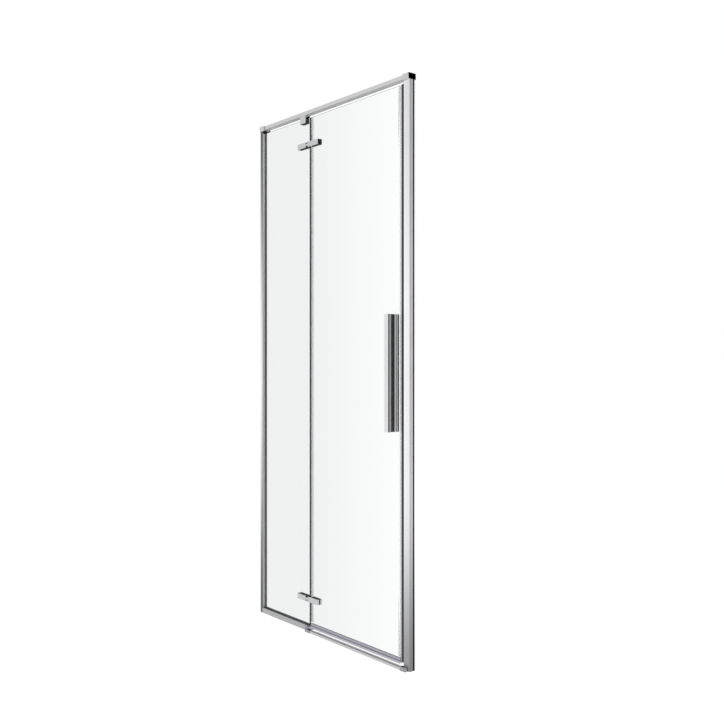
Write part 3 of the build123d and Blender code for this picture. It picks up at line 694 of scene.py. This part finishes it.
def strike_channel(sizes):
    """Web and front wall of the right wall's profile.

    The front wall has a bead at the mouth, and the face behind it lies back by a fraction of a millimetre.
    The web's outer face falls in a slope beside the wall seal's groove.
    """
    lip_low, lip_high = box_of("strike_channel_front_wall")
    web_low, web_high = box_of("strike_channel_web")
    seal_low, seal_high = box_of("strike_wall_seal")
    mouth, front, outer, back = lip_low[0], lip_low[1], web_high[0], web_high[1]
    points = [
        (mouth, front),
        (mouth + sizes.bead, front),
        (mouth + 1.5 * sizes.bead, front + sizes.bead_rise),
        (outer, front + sizes.bead_rise),
        (outer, seal_low[1] - sizes.slope),
        (outer - sizes.slope_drop, seal_low[1]),
        (seal_low[0], seal_low[1]),
        (seal_low[0], seal_high[1]),
        (outer, seal_high[1]),
        (outer, back),
        (web_low[0], back),
        (web_low[0], lip_high[1]),
        (mouth, lip_high[1]),
    ]
    big, small = sizes.profile_round, sizes.inner_round
    radii = [small] * 3 + [big] + [small] * 5 + [big] + [small] * 3

    def faces(middles):
        x, y = middles[:, 0], middles[:, 1]
        # Painted highlight on the bead and the slope (1), brighter than the rest of the profile.
        bead = (x < mouth + sizes.bead) & (y < front + small)
        # The outer side takes painted shade, a darker copy of the aluminium (2).
        side = (x > outer - small) & (y > front + big) & (y < seal_high[1])
        slope = (x > outer - sizes.slope_drop) & (y > seal_low[1] - sizes.slope) & (y < seal_low[1])
        return np.where(side, 2, np.where(bead | slope, 1, 0))

    part = carried(rounded_section(points, radii), 2, web_low[2], web_high[2], marks=faces)
    finishes = [finish_of(name) for name in ("strike_aluminium", "bead_painted_highlight", "strike_shaded_side")]
    made = mesh_object("strike_channel_profile", [part], finishes, sizes.cut_round)
    return stands_for(made, "strike_channel_web", "strike_channel_front_wall")


def header_rail(sizes):
    """Rectangular tube with rounded corners."""
    low, high = box_of("header_rail")
    wall = sizes.rail_wall
    outer = rectangle(low[1:], high[1:])
    inner = [(y - math.copysign(wall, y), z + (wall if z == low[2] else -wall)) for y, z in outer]
    outer = rounded_section(outer, sizes.profile_round)
    inner = rounded_section(inner, sizes.inner_round)
    part = carried(outer, 0, low[0], high[0], inner=inner)
    made = mesh_object("header_rail_tube", [part], [finish_of("aluminium_along")])
    return stands_for(made, "header_rail")


def bottom_rail(sizes):
    """Open U profile under the fixed pane."""
    low, high = box_of("bottom_rail")
    wall = box_of("bottom_front_gasket")[0][1] - low[1]
    points = [
        (low[1], low[2]),
        (high[1], low[2]),
        (high[1], high[2]),
        (high[1] - wall, high[2]),
        (high[1] - wall, low[2] + wall),
        (low[1] + wall, low[2] + wall),
        (low[1] + wall, high[2]),
        (low[1], high[2]),
    ]
    big, small = sizes.profile_round, sizes.inner_round
    part = carried(rounded_section(points, [big] * 2 + [small] * 6), 0, low[0], high[0])
    made = mesh_object("bottom_rail_profile", [part], [finish_of("low_aluminium")], sizes.cut_round)
    return stands_for(made, "bottom_rail")


def threshold(sizes):
    """Low lip with a sloped front edge, and the thin flange that is stuck to the tray behind it."""
    low, high = box_of("threshold_strip")
    end = box_of("threshold_end_block")[0][0]
    back = low[1] + sizes.threshold_lip
    flange = low[2] + sizes.threshold_flange
    ledge, edge = low[1] + sizes.threshold_slope, high[2] - sizes.threshold_slope
    points = [(low[1], low[2]), (back, low[2]), (back, high[2]), (ledge, high[2]), (low[1], edge)]

    def shaded(middles):
        # Painted shade: the lip's sloped front edge takes the dark colour.
        return (middles[:, 0] < ledge) & (middles[:, 1] > edge)

    lip = carried(rounded_section(points, sizes.inner_round), 0, low[0], end, marks=shaded)
    plate = rectangle((back, low[2]), (high[1], flange))
    parts = [lip, carried(rounded_section(plate, sizes.inner_round), 0, low[0], high[0])]
    finishes = [finish_of("aluminium_along"), finish_of("blackened")]
    made = mesh_object("threshold_profile", parts, finishes, sizes.cut_round)
    return stands_for(made, "threshold_strip")


# Seals


def drip_seal(sizes):
    """Clip on seal under the door, with two fins that curl outward as they fall.

    A fin's middle line is y = root + spread * t * t and z = base - drop * t for t from 0 to 1, and its
    thickness falls by half along the way.
    """
    low, high = box_of("door_bottom_seal")
    glass_low, glass_high = box_of("door_glass")
    half = glass_high[1]
    outer = half + sizes.seal_wall
    glass = glass_low[2]
    base = glass - sizes.drip_base
    root = outer - sizes.fin / 2
    spread = high[1] - sizes.fin / 4 - root
    t = np.linspace(0, 1, 9)
    y = root + spread * t * t
    z = base - (base - low[2]) * t
    thick = sizes.fin / 2 * (1 - 0.5 * t)
    outside = np.stack([y + thick, z], 1)
    inside = np.stack([y - thick, z], 1)[::-1]
    top = high[2] - sizes.leg_cut
    leg = [(half, top), (outer, top), (outer, glass + sizes.edge_band), (outer, glass)]
    right = np.concatenate([np.array(leg), outside, inside])
    left = right[::-1] * (-1, 1)
    slot = np.array([(-half, glass), (half, glass)])
    ring = np.concatenate([right, left, slot])

    def bands(middles):
        above = middles[:, 1] - glass
        return np.where(above > sizes.edge_band, 0, np.where(above > 0, 1, 2))

    part = carried(ring, 0, low[0], high[0], marks=bands)
    finishes = [finish_of(name) for name in ("milky_seal", "line_seal", "pale_seal")]
    made = mesh_object("drip_seal", [part], finishes)
    return stands_for(made, "door_bottom_seal")


def door_closing_seal(sizes):
    """Clear legs on both faces of the door's free edge and a rounded head that holds the magnet."""
    low, high = box_of("door_magnet_seal")
    edge, glass = box_of("door_glass")[1][:2]
    outer = glass + sizes.seal_wall
    head = box_of("strike_magnet_seal")[0][0] - sizes.magnet_gap - sizes.magnet_head
    start = box_of("door_bottom_seal")[1][2] + sizes.seal_clearance
    legs = [
        (low[0], glass),
        (edge, glass),
        (edge, -glass),
        (low[0], -glass),
        (low[0], -outer),
        (head, -outer),
        (head, outer),
        (low[0], outer),
    ]
    step = high[0] - sizes.magnet_face
    notch = sizes.inner_round
    body = [(head, low[1] + notch), (step, low[1] + notch), (step, low[1]), (high[0], low[1])]
    body += [(high[0], high[1]), (step, high[1]), (step, high[1] - notch), (head, high[1] - notch)]
    rounds = [sizes.seal_round, notch / 4, notch / 4, sizes.seal_round]
    parts = [
        carried(np.array(legs), 2, start, high[2]),
        carried(rounded_section(body, rounds + rounds[::-1]), 2, low[2], high[2]),
    ]
    # Painted shade: the head's face toward the strike seal, beyond step, takes the dark head colour; the rest
    # of the head stays clear.
    vertices, faces, numbers = parts[1]
    centres = np.array([vertices[face, 0].mean() for face in faces])
    numbers[:] = np.where(centres > step, 2, 1)
    finishes = [finish_of(name) for name in ("clear_seal", "head_clear", "magnet_head")]
    made = mesh_object("door_closing_seal", parts, finishes)
    return stands_for(made, "door_magnet_seal", "door_magnet_strip")


def strike_closing_seal(sizes):
    """Rounded head with a neck and barb in the post's groove, made dark all over as painted shade; its free
    half, at the gap by the door, has its own dark colour.
    """
    low, high = box_of("strike_magnet_seal")
    face = box_of("strike_post")[0][0]
    neck, barb = sizes.barb_neck, sizes.barb_half
    neck_end = face + sizes.neck_length
    points = [
        (low[0], low[1]),
        (face, low[1]),
        (face, -neck),
        (neck_end, -neck),
        (neck_end, -barb),
        (high[0], -barb),
        (high[0], barb),
        (neck_end, barb),
        (neck_end, neck),
        (face, neck),
        (face, high[1]),
        (low[0], high[1]),
    ]
    radii = [sizes.seal_round] + [sizes.inner_round] * 10 + [sizes.seal_round]
    middle = (low[0] + face) / 2
    ring = split_at(rounded_section(points, radii), middle)

    def through(middles):
        # Painted shade: the free half, toward the door, takes the dark seal colour.
        return middles[:, 0] < middle

    part = carried(ring, 2, low[2], high[2], marks=through)
    made = mesh_object("strike_closing_seal", [part], [finish_of("magnet_head"), finish_of("dark_seal")])
    return stands_for(made, "strike_magnet_seal", "strike_magnet_strip")


# Handle


def handle_front(sizes):
    """Front bar: a slab with rounded corners and a shadow groove on each side, a web and a foot; grooves,
    web, the slab's back and the foot's front take painted shade, and the slab's sides a darker aluminium as
    painted shade.
    """
    low, high = box_of("handle_front_bar")
    foot = high[1] - sizes.handle_foot
    face_back = foot - sizes.handle_web
    middle = (low[0] + high[0]) / 2
    web = sizes.handle_web_half
    half = (high[0] - low[0]) / 2
    g0 = low[1] + sizes.handle_round + sizes.groove_inset
    g1 = g0 + sizes.handle_groove
    cut = half - sizes.groove_depth
    side = [(half, low[1]), (half, g0), (cut, g0), (cut, g1), (half, g1), (half, face_back), (web, face_back)]
    side += [(web, foot), (half, foot), (half, high[1])]
    right = np.array(side)
    left = right[::-1] * (-1, 1)
    ring = np.concatenate([right, left]) + (middle, 0)
    small = sizes.inner_round
    radii = [sizes.handle_round] + [small] * 18 + [sizes.handle_round]

    def shaded(middles):
        # Painted shade: grooves, web, the slab's back and the foot's front take the dark colour (1), and the
        # slab's sides the darker aluminium (2).
        out = np.abs(middles[:, 0] - middle)
        y = middles[:, 1]
        grooves = (out < half - small) & (y > g0 - small) & (y < g1 + small)
        black = grooves | ((y > face_back - small) & (y < foot + small) & (out < half - small))
        return np.where(black, 1, np.where((out > half - small) & (y > g1) & (y < face_back), 2, 0))

    part = carried(rounded_section(ring, radii), 2, low[2], high[2], marks=shaded)
    finishes = [finish_of(name) for name in ("handle_aluminium", "blackened", "handle_shaded_side")]
    made = mesh_object("handle_front_profile", [part], finishes, sizes.cut_round)
    return stands_for(made, "handle_front_bar")


def handle_back(sizes):
    """Flat back bar with rounded outer corners; its sides take a near-black painted reflection."""
    low, high = box_of("handle_back_bar")
    small = sizes.inner_round
    radii = [small] * 2 + [sizes.handle_round] * 2

    def sides(middles):
        # Painted reflection: the sides take the near-black colour.
        return (middles[:, 0] < low[0] + small) | (middles[:, 0] > high[0] - small)

    part = carried(rounded_section(rectangle(low, high), radii), 2, low[2], high[2], marks=sides)
    finishes = [finish_of("chrome"), finish_of("painted_dark_side")]
    made = mesh_object("handle_back_profile", [part], finishes, sizes.cut_round)
    return stands_for(made, "handle_back_bar")


# Stage


def floor_material(stage):
    """White floor that keeps the object's shadow, and is plain white in what metal and glass show of it."""
    material = bpy.data.materials.new("Floor")
    tree, surface = bare_tree(material)
    lit = node(tree, "ShaderNodeBsdfDiffuse", {"Color": (*[stage.floor_grey] * 3, 1.0)}).outputs[0]
    glow = node(tree, "ShaderNodeEmission", {"Strength": stage.floor_glow}).outputs[0]
    seen = node(tree, "ShaderNodeAddShader", {0: lit, 1: glow}).outputs[0]
    white = node(tree, "ShaderNodeEmission", {"Strength": 1.0}).outputs[0]
    mirrored = node(tree, "ShaderNodeLightPath").outputs["Is Glossy Ray"]
    mix = node(tree, "ShaderNodeMixShader", {0: mirrored, 1: seen, 2: white})
    tree.links.new(mix.outputs[0], surface)
    return material


def card_material(name, strength):
    """A card of one brightness that fades out at its rim, which only light that has left a mirror meets.

    Its cover is the smaller of the mirror count and 1, times fade(u) * fade(v), where u and v run from 0 to 1
    across the card and fade rises smoothly from 0 at the rim to 1 inside.
    """
    material = bpy.data.materials.new(name)
    tree, surface = bare_tree(material)
    glow = node(tree, "ShaderNodeEmission", {"Strength": strength}).outputs[0]
    clear = node(tree, "ShaderNodeBsdfTransparent").outputs[0]
    shown = reckoned(tree, "MINIMUM", node(tree, "ShaderNodeLightPath").outputs["Glossy Depth"], 1.0)
    place = node(tree, "ShaderNodeUVMap", uv_map="card").outputs[0]
    parts = node(tree, "ShaderNodeSeparateXYZ", {0: place}).outputs
    for side in ("X", "Y"):
        away = reckoned(tree, "ABSOLUTE", reckoned(tree, "SUBTRACT", parts[side], 0.5))
        shown = reckoned(tree, "MULTIPLY", shown, ranged(tree, away, (0.30, 0.50), (1.0, 0.0), "SMOOTHSTEP"))
    mix = node(tree, "ShaderNodeMixShader", {0: shown, 1: clear, 2: glow})
    tree.links.new(mix.outputs[0], surface)
    return material


def card(name, heading, elevations, halfwidth, distance, material):
    """An upright card that faces the object, at a heading from +X towards +Y and between two elevations.

    Headings, elevations and the half width are in degrees.
    """
    turn = math.radians(heading)
    out = np.array([math.cos(turn), math.sin(turn), 0.0])
    side = np.array([-out[1], out[0], 0.0])
    half = distance * math.tan(math.radians(halfwidth))
    heights = [1.0 + distance * math.tan(math.radians(e)) for e in elevations]
    corners = [
        out * distance + side * s * half + np.array([0.0, 0.0, h])
        for h, s in ((heights[0], -1), (heights[0], 1), (heights[1], 1), (heights[1], -1))
    ]
    mesh = bpy.data.meshes.new(name)
    mesh.from_pydata([c.tolist() for c in corners], [], [(0, 1, 2, 3)])
    rim = mesh.uv_layers.new(name="card")
    rim.data.foreach_set("uv", [0.0, 0.0, 1.0, 0.0, 1.0, 1.0, 0.0, 1.0])
    mesh.materials.append(material)
    made = bpy.data.objects.new(name, mesh)
    bpy.context.scene.collection.objects.link(made)
    made.visible_camera = False
    made.visible_diffuse = False
    made.visible_shadow = False
    return made


def build_world(strength):
    """White for what the camera, metal and glass see, and a plain even light for everything else."""
    world = bpy.data.worlds.new("Studio")
    bpy.context.scene.world = world
    tree, surface = bare_tree(world)
    path = node(tree, "ShaderNodeLightPath").outputs
    seen = reckoned(tree, "MAXIMUM", path["Is Camera Ray"], path["Is Glossy Ray"])
    seen = reckoned(tree, "MAXIMUM", seen, path["Is Transmission Ray"])
    level = ranged(tree, seen, (0.0, 1.0), (strength, 1.0))
    light = node(tree, "ShaderNodeBackground", {"Color": (1.0, 1.0, 1.0, 1.0), "Strength": level})
    tree.links.new(light.outputs[0], surface)


def soft_lamp(name, place, aim, size, watts):
    """A square lamp that lights the object and isn't seen in its reflections."""
    data = bpy.data.lights.new(name, "AREA")
    data.size = size
    data.energy = watts
    lamp = bpy.data.objects.new(name, data)
    bpy.context.scene.collection.objects.link(lamp)
    way = np.asarray(aim, float) - np.asarray(place, float)
    flat = math.hypot(way[0], way[1])
    lamp.location = place
    lamp.rotation_euler = (math.atan2(flat, -way[2]), 0.0, math.atan2(way[1], way[0]) - math.pi / 2)
    lamp.visible_glossy = False
    lamp.visible_transmission = False
    lamp.visible_camera = False
    return lamp


# Operators


class DOOR_OT_stage(bpy.types.Operator):
    """Makes the camera, the floor, the cards, the lamps and the world."""

    bl_idname = "door.stage"
    bl_label = "Stage"

    def execute(self, context):
        stage = context.scene.door_stage
        lens = bpy.data.cameras.new("Camera")
        lens.lens = stage.lens
        lens.shift_y = stage.camera_shift
        camera = bpy.data.objects.new("Camera", lens)
        context.scene.collection.objects.link(camera)
        camera.location = stage.camera_place
        camera.rotation_euler = (math.pi / 2, 0.0, stage.camera_turn)
        context.scene.camera = camera
        reach, drop = stage.floor_reach, stage.floor_drop
        corners = [(x, y, -drop) for x, y in rectangle((-reach, -reach), (reach, reach))]
        floor = bpy.data.meshes.new("floor")
        floor.from_pydata(corners, [], [(0, 1, 2, 3)])
        floor.materials.append(floor_material(stage))
        ground = bpy.data.objects.new("floor", floor)
        context.scene.collection.objects.link(ground)
        card("card_right_back", 38.0, (-20.0, 34.0), 12.0, 7.0, card_material("Black card", 0.0))
        card("card_left_back", 142.0, (-11.0, 13.0), 13.0, 4.0, card_material("Dark card", 0.02))
        build_world(stage.fill)
        aim = (0.0, 0.0, 1.0)
        soft_lamp("key", (2.2, -3.2, 3.0), aim, stage.lamp_size, stage.key_power)
        soft_lamp("rear", (-1.6, 3.4, 2.6), aim, stage.lamp_size, stage.rear_power)
        context.scene.view_settings.view_transform = "Standard"
        return {"FINISHED"}


class DOOR_OT_glass(bpy.types.Operator):
    """Gives both panes their glass."""

    bl_idname = "door.glass"
    bl_label = "Glass panes"

    def execute(self, context):
        dress(("fixed_glass",), "fixed_glass")
        dress(("door_glass",), "door_glass")
        return {"FINISHED"}


class DOOR_OT_profiles(bpy.types.Operator):
    """Builds the aluminium profiles."""

    bl_idname = "door.profiles"
    bl_label = "Profiles"

    def execute(self, context):
        sizes = context.scene.door_sizes
        for build in (hinge_channel, strike_channel, header_rail, bottom_rail, threshold):
            build(sizes)
        dress(("strike_channel_rear_wall",), "strike_aluminium")
        # Painted shade: the inner post is made dark for the shade it sits in.
        dress(("strike_post",), "shaded_post_aluminium")
        return {"FINISHED"}


class DOOR_OT_seals(bpy.types.Operator):
    """Builds the drip seal and both closing seals, and dresses the other seals."""

    bl_idname = "door.seals"
    bl_label = "Seals"

    def execute(self, context):
        sizes = context.scene.door_sizes
        for build in (drip_seal, door_closing_seal, strike_closing_seal):
            build(sizes)
        dress(("door_hinge_seal_clip",), "seam_seal")
        dress(("door_hinge_seal_lip",), "dark_seal")
        return {"FINISHED"}


class DOOR_OT_handle(bpy.types.Operator):
    """Builds both bars of the handle."""

    bl_idname = "door.handle"
    bl_label = "Handle"

    def execute(self, context):
        sizes = context.scene.door_sizes
        handle_front(sizes)
        handle_back(sizes)
        return {"FINISHED"}


class DOOR_OT_fittings(bpy.types.Operator):
    """Gives the plated fittings, gaskets, pads, bushes and screws the finish of their own slot."""

    bl_idname = "door.fittings"
    bl_label = "Fittings and fasteners"

    def execute(self, context):
        slots = ("chrome", "gasket_rubber", "clear_pad", "fastener_steel", "bush_nylon")
        for row in frame["record"]["subparts"]:
            if row["material_slot"] in slots:
                dress((row["node"],), row["material_slot"])
        # Painted shade: the threshold's blocks take the darker chrome.
        dress(("threshold_joint_block", "threshold_end_block"), "shaded_block_chrome")
        dress(("channel_front_gasket",), "grey_gasket")
        dress(("channel_rear_gasket", "bottom_rear_gasket"), "rear_gasket")
        dress(("strike_wall_seal",), "wall_seal")
        return {"FINISHED"}


class DOOR_PT_panel(bpy.types.Panel):
    """Lists the steps and the settings."""

    bl_idname = "DOOR_PT_panel"
    bl_label = "Shower door"
    bl_space_type = "VIEW_3D"
    bl_region_type = "UI"
    bl_category = "Shower door"

    def draw(self, context):
        layout = self.layout
        for step in STEPS:
            layout.operator(step.bl_idname)
        for group in (context.scene.door_finishes, context.scene.door_sizes, context.scene.door_stage):
            box = layout.box()
            for key in group.bl_rna.properties.keys():
                if key not in ("rna_type", "name"):
                    box.prop(group, key)


STEPS = (DOOR_OT_stage, DOOR_OT_glass, DOOR_OT_profiles, DOOR_OT_seals, DOOR_OT_handle, DOOR_OT_fittings)
CLASSES = (DoorFinishes, DoorSizes, DoorStage, *STEPS, DOOR_PT_panel)


def register():
    for made in CLASSES:
        bpy.utils.register_class(made)
    bpy.types.Scene.door_finishes = bpy.props.PointerProperty(type=DoorFinishes)
    bpy.types.Scene.door_sizes = bpy.props.PointerProperty(type=DoorSizes)
    bpy.types.Scene.door_stage = bpy.props.PointerProperty(type=DoorStage)


def unregister():
    del bpy.types.Scene.door_stage
    del bpy.types.Scene.door_sizes
    del bpy.types.Scene.door_finishes
    for made in reversed(CLASSES):
        bpy.utils.unregister_class(made)


def main():
    """Runs every step in order."""
    register()
    bpy.ops.door.stage()
    bpy.ops.door.glass()
    bpy.ops.door.profiles()
    bpy.ops.door.seals()
    bpy.ops.door.handle()
    bpy.ops.door.fittings()


if __name__ == "__main__":
    main()
